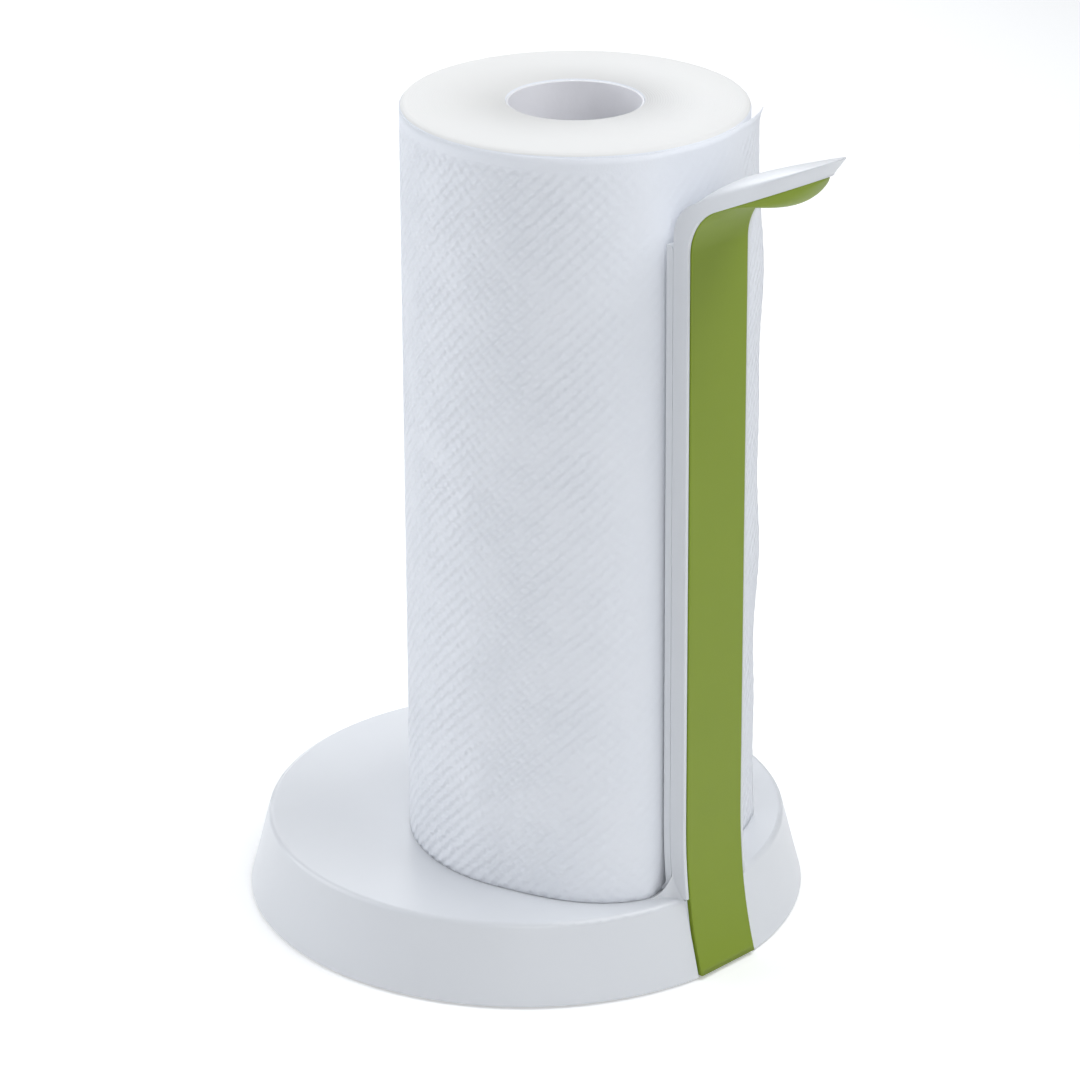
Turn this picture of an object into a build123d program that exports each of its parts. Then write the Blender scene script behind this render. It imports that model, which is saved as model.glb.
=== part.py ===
from build123d import *
import math
import os

os.makedirs("parts", exist_ok=True)

# Standing paper towel holder with a sprung tension arm, loaded with a full roll.
# Millimetres and degrees. The origin is the middle of the base on the table, +Z is up,
# and the arm stands on the +X side.

# Base
base_radius = 104.6
base_height = 30.5
base_draft = 14.5
base_lift = 1.0
base_wall = 2.6
base_top_wall = 2.8
rim_round = 2.2
rib_count = 12
rib_thickness = 1.6
rib_height = 4.0
pad_margin = 9.6
pad_thickness = 2.2
plate_thickness = 2.0
plate_gap = 0.5
plate_screw_count = 6
plate_screw_inset = 17.6
plate_screw_radius = 1.5
plate_boss_radius = 4.2

# Ballast
ballast_margin = 28.6
ballast_thickness = 10.0
ballast_gap = 1.8
ballast_screw_count = 4
ballast_screw_inset = 18.0
ballast_screw_radius = 1.75
ballast_boss_radius = 5.0

# Screw forms shared by all countersunk screws
head_ratio = 1.9
thread_length = 11.0

# Post, fixed in the base
post_y = 3.0
post_arm_gap = 2.2
post_radius = 6.0
post_boss_radius = 13.0
post_boss_length = 11.0
post_nut_height = 6.0
post_nut_radius = 9.2
washer_thickness = 1.6
washer_radius = 11.5
post_screw_radius = 3.0
post_screw_length = 16.0
post_screw_head_radius = 5.0
post_screw_head_height = 4.0

# Turning hub that carries the roll
hub_height = 251.0
hub_radius = 15.0
hub_wall = 2.0
hub_flange_radius = 44.0
hub_flange_thickness = 1.9
hub_proud = 0.4
thrust_washer_thickness = 0.6
thrust_washer_radius = 20.0
bush_length = 12.0
bush_clearance = 0.05
turning_gap = 0.3
recess_gap = 1.5
cap_thickness = 3.0
cap_skirt = 6.0
cap_skirt_wall = 1.5
cap_round = 1.6
grip_count = 3
grip_thickness = 2.4
grip_length = 80.0
grip_sink = 0.8
grip_gap = 0.5
grip_lead = 5.0

# Roll of paper on its cardboard core
roll_radius = 61.4
roll_length = 280.4
core_bore_radius = 23.3
core_wall = 1.2
sheet_thickness = 0.5
sheet_start_angle = 22.0
sheet_end_angle = 47.0
sheet_lift = 5.0
lap_start_angle = -72.0
lap_end_angle = -20.0
lap_lift = 6.0
sheet_margin = 1.0

# Arm: its outer face leans in a little, flares at the foot and bends into the lever
arm_width = 31.8
arm_shell_depth = 6.9
arm_cover_depth = 2.9
arm_inset = 8.6
arm_foot_top = 60.0
arm_lean = 0.4
arm_corner_height = 228.7
foot_radius = 240.0
foot_clear = 1.6
bend_radius = 20.0
back_bend_radius = 15.0
lever_slope = 25.3
lever_thickness = 4.7
crown_start = 6.0
crown_height = 3.4
crown_power = 0.5
lever_straight = 33.7
lever_nose = 23.8
lever_undercut = 7.2
arm_side_wall = 2.0
arm_hollow_start = 33.0
cover_top = 218.0
cover_top_round = 2.0
ski_length = 3.5
ski_height = 7.0
ski_gap = 0.5

# Soft strip let into the arm's outer face and the lever's underside
strip_width = 29.0
strip_depth = 2.0
strip_proud = 0.4
strip_gap = 0.1
strip_straight = 20.0
strip_nose = 31.2
belly_start = 18.0
belly_depth = 5.2
belly_power = 1.2
belly_inset = 0.15
leaf_sections = 9

# Steel spine inside the arm
spine_width = 20.0
spine_thickness = 2.0
spine_gap = 0.2
spine_end_gap = 4.0
cover_screw_count = 4
cover_screw_first = 10.0
cover_screw_step = 65.0
cover_screw_radius = 1.45
cover_screw_head_height = 1.2
cover_screw_sink = 0.4
cover_boss_radius = 3.2

# Hinge of the arm in the rim of the base
hinge_depth = 6.25
hinge_z = 9.2
hinge_pin_radius = 2.0
hinge_bush_radius = 3.0
hinge_clearance = 0.04
hinge_boss_radius = 4.5
hinge_boss_length = 4.6
pocket_gap = 0.35
pocket_wall = 2.5
pocket_reach = 13.9
arm_inward_room = 3.2
tongue_bottom = 5.6
spring_wire = 1.0
spring_radius = 3.7
spring_turns = 6
spring_room = 5.0
spring_leg = 8.0
stop_thickness = 3.2
stop_height = 7.0
stop_width = 16.0

# Heights and radii that follow
base_top_radius = base_radius - (base_height - base_lift) * math.tan(math.radians(base_draft))
wall_across = base_wall / math.cos(math.radians(base_draft))
pad_radius = base_radius - pad_margin
plate_screw_ring = base_radius - plate_screw_inset
ballast_radius = base_radius - ballast_margin
ballast_screw_ring = ballast_radius - ballast_screw_inset
arm_face_x = base_radius - arm_inset
arm_depth = arm_shell_depth + arm_cover_depth
post_x = arm_face_x - arm_depth - post_arm_gap - roll_radius
half_turn = 180.0
first_plate_screw = half_turn / plate_screw_count
first_ballast_screw = half_turn / ballast_screw_count
plate_top = pad_thickness + plate_thickness
ballast_bottom = plate_top + ballast_gap
ballast_top = ballast_bottom + ballast_thickness
ceiling = base_height - base_top_wall
recess_depth = hub_flange_thickness - hub_proud + thrust_washer_thickness + turning_gap
recess_floor = base_height - recess_depth
hub_bottom = recess_floor + thrust_washer_thickness + turning_gap
hub_flange_top = hub_bottom + hub_flange_thickness
hub_top = hub_bottom + hub_height
hub_bore_radius = hub_radius - hub_wall
post_boss_bottom = recess_floor - post_boss_length
post_bottom = post_boss_bottom - washer_thickness - post_nut_height
upper_bush_top = hub_top - cap_skirt - post_screw_head_height
post_top = upper_bush_top + turning_gap
roll_bottom = hub_flange_top + turning_gap
roll_top = roll_bottom + roll_length
core_radius = core_bore_radius + core_wall
tongue_width = strip_width
pocket_half = tongue_width / 2 + pocket_gap
strip_inlay = strip_depth - strip_proud


def cone_radius(height):
    """Outer radius of the base's side at a height above the table."""
    return base_radius - (height - base_lift) * math.tan(math.radians(base_draft))


# The arm's straight part: "up" runs along it and "out" stands on its outer face.
lean = math.radians(arm_lean)
slope = math.radians(lever_slope)
up_x, up_z = -math.sin(lean), math.cos(lean)
out_x, out_z = math.cos(lean), math.sin(lean)
foot_centre_x = arm_face_x + foot_radius * out_x
foot_centre_z = arm_foot_top + foot_radius * out_z
foot_angle = math.asin((foot_centre_z - foot_clear) / foot_radius) - lean


def arm_point(height, depth):
    """Point on the arm's straight part, at a depth behind its outer face."""
    x = arm_face_x + height * up_x - depth * out_x
    z = arm_foot_top + height * up_z - depth * out_z
    return (x, z)


def foot_point(share, depth):
    """Point on the flared foot: share 0 at its top and 1 at its lower end."""
    angle = lean + share * foot_angle
    reach = foot_radius + depth
    return (foot_centre_x - reach * math.cos(angle), foot_centre_z - reach * math.sin(angle))


def foot_x(height, depth):
    """X of a layer of the flared foot at a height above the table."""
    return foot_centre_x - math.sqrt((foot_radius + depth) ** 2 - (foot_centre_z - height) ** 2)


hinge_x = foot_x(hinge_z, hinge_depth)
pocket_depth = hinge_x - pocket_reach


def lever_corner(depth, lift):
    """Where a line behind the arm's face meets a line above the lever's underside."""
    turn = slope - lean
    rise = (lift - depth * math.sin(turn)) / math.cos(turn)
    return arm_point(arm_corner_height + rise, depth)


def lever_point(along, lift):
    """Point along the lever, measured from its corner, above its underside."""
    corner_x, corner_z = arm_point(arm_corner_height, 0)
    x = corner_x + along * math.cos(slope) - lift * math.sin(slope)
    z = corner_z + along * math.sin(slope) + lift * math.cos(slope)
    return (x, z)


def leaf_section(along, lift, half_width, height, sink):
    """Half-ellipse across the lever: below it for a negative height and above it otherwise."""
    x, z = lever_point(along, lift)
    across = Plane(origin=(x, 0, z), x_dir=(0, 1, 0), z_dir=(math.cos(slope), 0, math.sin(slope)))
    start = 0 if height > 0 else half_turn
    base_line = -sink if height > 0 else sink
    with BuildSketch(across) as section:
        with BuildLine():
            EllipticalCenterArc((0, base_line), half_width, abs(height) + sink, start_angle=start,
                                arc_size=half_turn)
            Line((half_width, base_line), (-half_width, base_line))
        make_face()
    return section.sketch


def leaf(start, straight, nose, lift, half_width, height, power):
    """Swelling along the lever that narrows with its nose and dies out at both ends."""
    sections = []
    for number in range(leaf_sections):
        share = (number + 0.5) / leaf_sections
        along = start + share * (straight + nose - start)
        beyond = max(0, along - straight) / nose
        width = half_width * math.sqrt(1 - beyond ** 2)
        swell = height * math.sin(math.pi * share ** power)
        sections.append(leaf_section(along, lift, width, swell, leaf_sink))
    return loft(sections)


lever_length = lever_straight + lever_nose + lever_thickness
leaf_sink = strip_depth / 3
arm_top = lever_point(lever_length, lever_thickness)[1]


def arm_side(front, back, top_lift, under_lift, back_bend):
    """Side view of a layer that runs from the foot round the bend to the lever's end."""
    with BuildSketch(Plane.XZ) as side:
        with BuildLine():
            ThreePointArc(foot_point(1, front), foot_point(0.5, front), foot_point(0, front))
            FilletPolyline(foot_point(0, front), lever_corner(front, under_lift),
                           lever_point(lever_length, under_lift), radius=bend_radius + front)
            Line(lever_point(lever_length, under_lift), lever_point(lever_length, top_lift))
            FilletPolyline(lever_point(lever_length, top_lift), lever_corner(back, top_lift),
                           foot_point(0, back), radius=back_bend)
            ThreePointArc(foot_point(0, back), foot_point(0.5, back), foot_point(1, back))
            Line(foot_point(1, back), foot_point(1, front))
        make_face()
    return side.sketch


def straight_side(front, back, top_height):
    """Side view of a layer that runs from the foot up the arm's straight part only."""
    with BuildSketch(Plane.XZ) as side:
        with BuildLine():
            ThreePointArc(foot_point(1, front), foot_point(0.5, front), foot_point(0, front))
            Polyline(foot_point(0, front), arm_point(top_height, front), arm_point(top_height, back),
                     foot_point(0, back))
            ThreePointArc(foot_point(0, back), foot_point(0.5, back), foot_point(1, back))
            Line(foot_point(1, back), foot_point(1, front))
        make_face()
    return side.sketch


def lever_plan(half_width, straight, nose):
    """Plan of the arm seen from above: straight sides and an elliptical nose on the lever."""
    nose_x = lever_point(straight, 0)[0]
    inner_x = arm_face_x - 2 * arm_depth
    with BuildSketch(Plane.XY) as plan:
        with Locations(((nose_x + inner_x) / 2, 0)):
            Rectangle(nose_x - inner_x, 2 * half_width)
        with Locations((nose_x, 0)):
            Ellipse(nose * math.cos(slope), half_width)
    return plan.sketch


def arm_plane(depth):
    """Plane across the arm at a depth behind its face: local y runs up the arm."""
    x, z = arm_point(0, depth)
    return Plane(origin=(x, 0, z), x_dir=(0, -1, 0), z_dir=(-out_x, 0, -out_z))


cover_screw_spots = [(0, cover_screw_first + step * cover_screw_step) for step in range(cover_screw_count)]


def screw(radius, length, tip, foot):
    """Countersunk screw standing on its head: its head's face is at foot, its tip above."""
    head = radius * head_ratio
    with BuildSketch(Plane.XZ) as half:
        with BuildLine():
            Polyline((0, foot), (head, foot), (radius, foot + head - radius),
                     (radius, foot + length - tip), (0, foot + length), close=True)
        make_face()
    return revolve(half.sketch, axis=Axis.Z, mode=Mode.PRIVATE)


# --- Base -------------------------------------------------------------------------------

plate_screw_length = plate_thickness + thread_length
ballast_screw_length = ballast_thickness + thread_length / 2
plate_screw = screw(plate_screw_radius, plate_screw_length, plate_screw_radius, pad_thickness)
ballast_screw = screw(ballast_screw_radius, ballast_screw_length, ballast_screw_radius, ballast_bottom)

# The room inside the shell, leaving the arm's pocket, screw bosses, post boss and ribs standing.
with BuildPart() as shell_room:
    with BuildSketch(Plane.XZ):
        with BuildLine():
            Polyline((0, 0), (cone_radius(0) - wall_across, 0),
                     (cone_radius(ceiling) - wall_across, ceiling), (0, ceiling), close=True)
        make_face()
    revolve(axis=Axis.Z)
    with BuildSketch(Plane.XY.offset(recess_floor - base_top_wall)):
        with Locations((post_x, post_y)):
            Circle(hub_flange_radius + recess_gap + base_top_wall)
    extrude(amount=base_top_wall + recess_depth, mode=Mode.SUBTRACT)
    with BuildSketch(Plane.XY.offset(plate_top)):
        pocket_start = pocket_depth - pocket_wall
        with Locations(((pocket_start + base_radius) / 2, 0)):
            Rectangle(base_radius - pocket_start, 2 * (pocket_half + pocket_wall))
        with PolarLocations(plate_screw_ring, plate_screw_count, start_angle=first_plate_screw):
            Circle(plate_boss_radius)
    extrude(amount=base_height, mode=Mode.SUBTRACT)
    with BuildSketch(Plane.XY.offset(ballast_top)):
        with PolarLocations(ballast_screw_ring, ballast_screw_count, start_angle=first_ballast_screw):
            Circle(ballast_boss_radius)
    extrude(amount=base_height, mode=Mode.SUBTRACT)
    with BuildSketch(Plane.XY.offset(post_boss_bottom)):
        with Locations((post_x, post_y)):
            Circle(post_boss_radius)
    extrude(amount=base_height, mode=Mode.SUBTRACT)
    with BuildSketch(Plane.XY.offset(ceiling - rib_height)):
        with PolarLocations(0, rib_count, start_angle=half_turn / rib_count):
            Rectangle(base_radius, rib_thickness, align=(Align.MIN, Align.CENTER))
    extrude(amount=base_height, mode=Mode.SUBTRACT)
    with BuildSketch(Plane.XZ.offset(-pocket_half - hinge_boss_length)):
        with Locations((hinge_x, hinge_z)):
            Circle(hinge_boss_radius)
    extrude(amount=2 * (pocket_half + hinge_boss_length), mode=Mode.SUBTRACT)

# White moulded shell of the base, with the slot that the arm's foot stands in.
top_slot_start = foot_x(base_height, arm_depth) - arm_inward_room
with BuildPart() as base_shell:
    with BuildSketch(Plane.XZ):
        with BuildLine():
            Polyline((0, base_lift), (base_radius, base_lift), (base_top_radius, base_height),
                     (0, base_height), close=True)
        make_face()
    revolve(axis=Axis.Z)
    fillet(base_shell.edges().filter_by(GeomType.CIRCLE).sort_by(Axis.Z)[-1], radius=rim_round)
    add(shell_room.part, mode=Mode.SUBTRACT)
    with BuildSketch(Plane.XY.offset(base_height)):
        with Locations((post_x, post_y)):
            Circle(hub_flange_radius + recess_gap)
    extrude(amount=-recess_depth, mode=Mode.SUBTRACT)
    with BuildSketch(Plane.XY.offset(base_height)):
        with Locations((post_x, post_y)):
            Circle(post_radius)
    extrude(amount=-base_height, mode=Mode.SUBTRACT)
    with BuildSketch(Plane.XY):
        with Locations(((pocket_depth + 2 * base_radius) / 2, 0)):
            Rectangle(2 * base_radius - pocket_depth, 2 * pocket_half)
    extrude(amount=ceiling, mode=Mode.SUBTRACT)
    with BuildSketch(Plane.XY):
        with Locations(((top_slot_start + 2 * base_radius) / 2, 0)):
            Rectangle(2 * base_radius - top_slot_start, 2 * pocket_half)
    extrude(amount=2 * base_height, mode=Mode.SUBTRACT)
    with BuildSketch(Plane.XZ.offset(-pocket_half - hinge_boss_length)):
        with Locations((hinge_x, hinge_z)):
            Circle(hinge_pin_radius)
    extrude(amount=2 * (pocket_half + hinge_boss_length), mode=Mode.SUBTRACT)
    with PolarLocations(plate_screw_ring, plate_screw_count, start_angle=first_plate_screw):
        add(plate_screw, mode=Mode.SUBTRACT)
    with PolarLocations(ballast_screw_ring, ballast_screw_count, start_angle=first_ballast_screw):
        add(ballast_screw, mode=Mode.SUBTRACT)

# Cast-iron disc that keeps the holder standing while a sheet is torn off.
with BuildPart() as base_ballast:
    with BuildSketch(Plane.XY.offset(ballast_bottom)):
        Circle(ballast_radius)
        with Locations((post_x, post_y)):
            Circle(post_boss_radius + pocket_wall, mode=Mode.SUBTRACT)
    extrude(amount=ballast_thickness)
    chamfer(base_ballast.edges().group_by(Axis.Z)[-1], length=base_wall / 2)
    with PolarLocations(ballast_screw_ring, ballast_screw_count, start_angle=first_ballast_screw):
        add(ballast_screw, mode=Mode.SUBTRACT)

with BuildPart() as ballast_screws:
    with PolarLocations(ballast_screw_ring, ballast_screw_count, start_angle=first_ballast_screw):
        add(ballast_screw)

# Bottom plate, cut back where the arm's foot swings.
plate_radius = cone_radius(plate_top) - wall_across - plate_gap
with BuildPart() as bottom_plate:
    with BuildSketch(Plane.XY.offset(pad_thickness)):
        Circle(plate_radius)
        with Locations((base_radius, 0)):
            Rectangle(4 * base_wall + 2 * plate_gap, 2 * (pocket_half + pocket_wall), mode=Mode.SUBTRACT)
    extrude(amount=plate_thickness)
    with PolarLocations(plate_screw_ring, plate_screw_count, start_angle=first_plate_screw):
        add(plate_screw, mode=Mode.SUBTRACT)

with BuildPart() as plate_screws:
    with PolarLocations(plate_screw_ring, plate_screw_count, start_angle=first_plate_screw):
        add(plate_screw)

# Full-width soft pad that the holder stands on.
with BuildPart() as nonslip_pad:
    with BuildSketch(Plane.XY):
        Circle(pad_radius)
    extrude(amount=pad_thickness)
    chamfer(nonslip_pad.edges().group_by(Axis.Z)[0], length=pad_thickness / 4)

# --- Post and hub ----------------------------------------------------------------------

# Steel post, tapped at its top for the retaining screw.
with BuildPart() as post_rod:
    with BuildSketch(Plane.XY.offset(post_bottom)):
        with Locations((post_x, post_y)):
            Circle(post_radius)
    extrude(amount=post_top - post_bottom)
    with BuildSketch(Plane.XY.offset(post_top)):
        with Locations((post_x, post_y)):
            Circle(post_screw_radius)
    extrude(amount=-post_screw_length, mode=Mode.SUBTRACT)

with BuildPart() as post_washer:
    with BuildSketch(Plane.XY.offset(post_boss_bottom - washer_thickness)):
        with Locations((post_x, post_y)):
            Circle(washer_radius)
            Circle(post_radius, mode=Mode.SUBTRACT)
    extrude(amount=washer_thickness)

with BuildPart() as post_nut:
    with BuildSketch(Plane.XY.offset(post_bottom)):
        with Locations((post_x, post_y)):
            RegularPolygon(post_nut_radius, 6)
            Circle(post_radius, mode=Mode.SUBTRACT)
    extrude(amount=post_nut_height)

with BuildPart() as thrust_washer:
    with BuildSketch(Plane.XY.offset(recess_floor)):
        with Locations((post_x, post_y)):
            Circle(thrust_washer_radius)
            Circle(post_radius, mode=Mode.SUBTRACT)
    extrude(amount=thrust_washer_thickness)

# Screw and washer on top of the post keep the hub from lifting off with the roll.
with BuildPart() as post_top_washer:
    with BuildSketch(Plane.XY.offset(post_top)):
        with Locations((post_x, post_y)):
            Circle(hub_bore_radius - cap_skirt_wall - 2 * turning_gap)
            Circle(post_screw_radius, mode=Mode.SUBTRACT)
    extrude(amount=washer_thickness)

with BuildPart() as post_top_screw:
    with BuildSketch(Plane.XY.offset(post_top - post_screw_length)):
        with Locations((post_x, post_y)):
            Circle(post_screw_radius)
    extrude(amount=post_screw_length + washer_thickness)
    with BuildSketch(Plane.XY.offset(post_top + washer_thickness)):
        with Locations((post_x, post_y)):
            Circle(post_screw_head_radius)
            RegularPolygon(post_screw_radius, 6, mode=Mode.SUBTRACT)
    extrude(amount=post_screw_head_height)

# Fins that stand out of the hub and centre the roll's core, a lower and an upper set.
grip_reach = core_bore_radius - grip_gap
with BuildPart() as core_grips:
    for grip_bottom in (hub_flange_top, upper_bush_top - grip_length):
        with BuildSketch(Plane.XZ.offset(-post_y)) as grip_side:
            with BuildLine():
                Polyline((post_x + hub_radius - grip_sink, grip_bottom),
                         (post_x + grip_reach, grip_bottom),
                         (post_x + grip_reach, grip_bottom + grip_length - 2 * grip_lead),
                         (post_x + hub_radius - grip_sink, grip_bottom + grip_length), close=True)
            make_face()
        fin = extrude(amount=grip_thickness / 2, both=True, mode=Mode.PRIVATE)
        for turn in range(grip_count):
            add(fin.rotate(Axis((post_x, post_y, 0), (0, 0, 1)), turn * 2 * half_turn / grip_count))

# Turning hub: a tube with a flange that the roll stands on.
with BuildPart() as hub_sleeve:
    with BuildSketch(Plane.XY.offset(hub_bottom)):
        with Locations((post_x, post_y)):
            Circle(hub_flange_radius)
    extrude(amount=hub_flange_thickness)
    with BuildSketch(Plane.XY.offset(hub_bottom)):
        with Locations((post_x, post_y)):
            Circle(hub_radius)
    extrude(amount=hub_height)
    with BuildSketch(Plane.XY.offset(hub_bottom)):
        with Locations((post_x, post_y)):
            Circle(hub_bore_radius)
    extrude(amount=hub_height, mode=Mode.SUBTRACT)
    add(core_grips.part, mode=Mode.SUBTRACT)

with BuildPart() as lower_bush:
    with BuildSketch(Plane.XY.offset(hub_bottom)):
        with Locations((post_x, post_y)):
            Circle(hub_bore_radius)
            Circle(post_radius + bush_clearance, mode=Mode.SUBTRACT)
    extrude(amount=bush_length)

with BuildPart() as upper_bush:
    with BuildSketch(Plane.XY.offset(upper_bush_top - bush_length)):
        with Locations((post_x, post_y)):
            Circle(hub_bore_radius)
            Circle(post_radius + bush_clearance, mode=Mode.SUBTRACT)
    extrude(amount=bush_length)

# Snap-in cap with a skirt inside the tube.
with BuildPart() as hub_cap:
    with BuildSketch(Plane.XY.offset(hub_top)):
        with Locations((post_x, post_y)):
            Circle(hub_radius)
    extrude(amount=cap_thickness)
    fillet(hub_cap.edges().group_by(Axis.Z)[-1], radius=cap_round)
    with BuildSketch(Plane.XY.offset(hub_top - cap_skirt)):
        with Locations((post_x, post_y)):
            Circle(hub_bore_radius)
            Circle(hub_bore_radius - cap_skirt_wall, mode=Mode.SUBTRACT)
    extrude(amount=cap_skirt)

# --- Roll -------------------------------------------------------------------------------

with BuildPart() as roll_core:
    with BuildSketch(Plane.XY.offset(roll_bottom)):
        with Locations((post_x, post_y)):
            Circle(core_radius)
            Circle(core_bore_radius, mode=Mode.SUBTRACT)
    extrude(amount=roll_length)

with BuildPart() as paper_roll:
    with BuildSketch(Plane.XY.offset(roll_bottom)):
        with Locations((post_x, post_y)):
            Circle(roll_radius)
            Circle(core_radius, mode=Mode.SUBTRACT)
    extrude(amount=roll_length)


def roll_side(angle, reach):
    """Point in plan at an angle round the roll's axis and a distance from it."""
    turn = math.radians(angle)
    return (post_x + reach * math.cos(turn), post_y + reach * math.sin(turn))


# The outermost sheet stands off the roll in two places, before the arm and beyond it, where it
# ends. Each entry is the angle where it leaves the roll, the angle where the stretch ends, and
# how far off it is at its middle and at its end.
sheet_in = roll_radius + turning_gap
sheet_out = sheet_in + sheet_thickness
sheet_stretches = [
    (lap_start_angle, lap_end_angle, lap_lift, 0),
    (sheet_start_angle, sheet_end_angle, sheet_lift / 4, sheet_lift),
]
with BuildPart() as loose_sheet:
    for first, last, middle_lift, last_lift in sheet_stretches:
        middle = (first + last) / 2
        with BuildSketch(Plane.XY.offset(roll_bottom + sheet_margin)):
            with BuildLine():
                ThreePointArc(roll_side(first, sheet_in), roll_side(middle, sheet_in + middle_lift),
                              roll_side(last, sheet_in + last_lift))
                Line(roll_side(last, sheet_in + last_lift), roll_side(last, sheet_out + last_lift))
                ThreePointArc(roll_side(last, sheet_out + last_lift),
                              roll_side(middle, sheet_out + middle_lift), roll_side(first, sheet_out))
                Line(roll_side(first, sheet_out), roll_side(first, sheet_in))
            make_face()
        extrude(amount=roll_length - 2 * sheet_margin)

# --- Arm --------------------------------------------------------------------------------

shoulder = base_height + ski_gap
tongue_half = tongue_width / 2
hollow_half = arm_width / 2 - arm_side_wall
hollow_front = strip_inlay + arm_side_wall
hollow_top = cover_top - arm_side_wall
spine_front = hollow_front + spine_gap
relief_radius = spring_radius + spring_wire + turning_gap

shell_side = arm_side(0, arm_shell_depth, lever_thickness, 0, back_bend_radius)
shell_plan = lever_plan(arm_width / 2, lever_straight, lever_nose)
strip_side = arm_side(-strip_proud, strip_inlay, strip_inlay, -strip_proud, bend_radius + strip_inlay)
strip_plan = lever_plan(strip_width / 2 - strip_gap, strip_straight, strip_nose - strip_gap)
channel_plan = lever_plan(strip_width / 2, strip_straight, strip_nose)
tongue_side = straight_side(strip_inlay, arm_depth, hollow_top)
hollow_side = straight_side(hollow_front, arm_depth, hollow_top)
cover_side = straight_side(arm_shell_depth, arm_depth, cover_top)
spine_side = straight_side(spine_front, spine_front + spine_thickness, hollow_top - spine_end_gap)


def below(height, half_width):
    """Block from below the table to a height, as wide as a layer of the arm."""
    with BuildPart() as block:
        with BuildSketch(Plane.XY.offset(-arm_depth)):
            with Locations((arm_face_x, 0)):
                Rectangle(2 * base_radius, 2 * half_width)
        extrude(amount=height + arm_depth)
    return block.part


belly_half = strip_width / 2 - strip_gap - belly_inset
belly_nose = strip_nose - strip_gap - belly_inset
belly = leaf(belly_start, strip_straight, belly_nose, -strip_proud, belly_half, -belly_depth, belly_power)
crown = leaf(crown_start, lever_straight, lever_nose, lever_thickness, arm_width / 2,
             crown_height, crown_power)
channel = extrude(strip_side, amount=strip_width / 2, both=True) & extrude(channel_plan, amount=arm_top)
tongue = extrude(tongue_side, amount=tongue_half, both=True) & below(shoulder, tongue_half)
hollow = extrude(hollow_side, amount=hollow_half, both=True) - below(arm_hollow_start, arm_width)
cheeks = below(shoulder, arm_width) - below(shoulder, tongue_half)

# The lever's nose slants in towards its underside: this is what lies beyond the slant.
nose_x, nose_z = lever_point(lever_straight, lever_thickness)
lever_way = (math.cos(slope), 0, math.sin(slope))
nose_plane = Plane(origin=(nose_x, 0, nose_z), x_dir=lever_way, z_dir=(-lever_way[2], 0, lever_way[0]))
nose_slant = nose_plane.from_local_coords(Vector(lever_undercut, 0, lever_thickness)) - nose_plane.origin
nose_reach = lever_nose + lever_thickness * math.tan(slope)
with BuildPart() as beyond_nose:
    with BuildSketch(nose_plane.offset(-lever_thickness - strip_depth)):
        Rectangle(4 * lever_nose, 2 * arm_width)
    extrude(amount=2 * lever_thickness + strip_depth)
    with BuildSketch(nose_plane):
        Rectangle(4 * lever_nose, arm_width, align=(Align.MAX, Align.CENTER))
        Ellipse(nose_reach, arm_width / 2)
    extrude(amount=4 * lever_thickness, dir=nose_slant, both=True, mode=Mode.SUBTRACT)

# Screws from the roll's side through the cover and the spine into the shell's bosses.
cover_screw_length = arm_depth - hollow_front - 2 * cover_screw_sink
with BuildPart() as cover_screws:
    with BuildSketch(arm_plane(arm_depth - cover_screw_sink)):
        with Locations(*cover_screw_spots):
            Circle(cover_screw_radius * head_ratio)
    extrude(amount=-cover_screw_head_height)
    with BuildSketch(arm_plane(arm_depth - cover_screw_sink)):
        with Locations(*cover_screw_spots):
            Circle(cover_screw_radius)
    extrude(amount=-cover_screw_length)

# Moulded shell of the arm and lever, open towards the roll. Its foot is a tongue as wide as the
# slot in the base, forked round the spring and bored for the hinge.
with BuildPart() as arm_shell:
    extrude(shell_side, amount=arm_width / 2, both=True)
    add(crown)
    extrude(shell_plan, amount=arm_top, mode=Mode.INTERSECT)
    add(beyond_nose.part, mode=Mode.SUBTRACT)
    add(hollow, mode=Mode.SUBTRACT)
    with BuildSketch(arm_plane(hollow_front)):
        with Locations(*cover_screw_spots):
            Circle(cover_boss_radius)
    extrude(amount=arm_shell_depth - hollow_front)
    add(cover_screws.part, mode=Mode.SUBTRACT)
    add(cheeks, mode=Mode.SUBTRACT)
    add(tongue)
    add(channel, mode=Mode.SUBTRACT)
    add(below(tongue_bottom, arm_width), mode=Mode.SUBTRACT)
    with BuildSketch(Plane.XZ.offset(-tongue_half)):
        with Locations((hinge_x, hinge_z)):
            Circle(hinge_bush_radius)
    extrude(amount=2 * tongue_half, mode=Mode.SUBTRACT)
    with BuildSketch(Plane.XZ.offset(-spring_room)):
        with Locations((hinge_x, hinge_z + relief_radius)):
            Rectangle(2 * base_wall + 2 * arm_depth, 4 * relief_radius, align=(Align.CENTER, Align.MAX))
    extrude(amount=2 * spring_room, mode=Mode.SUBTRACT)

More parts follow.
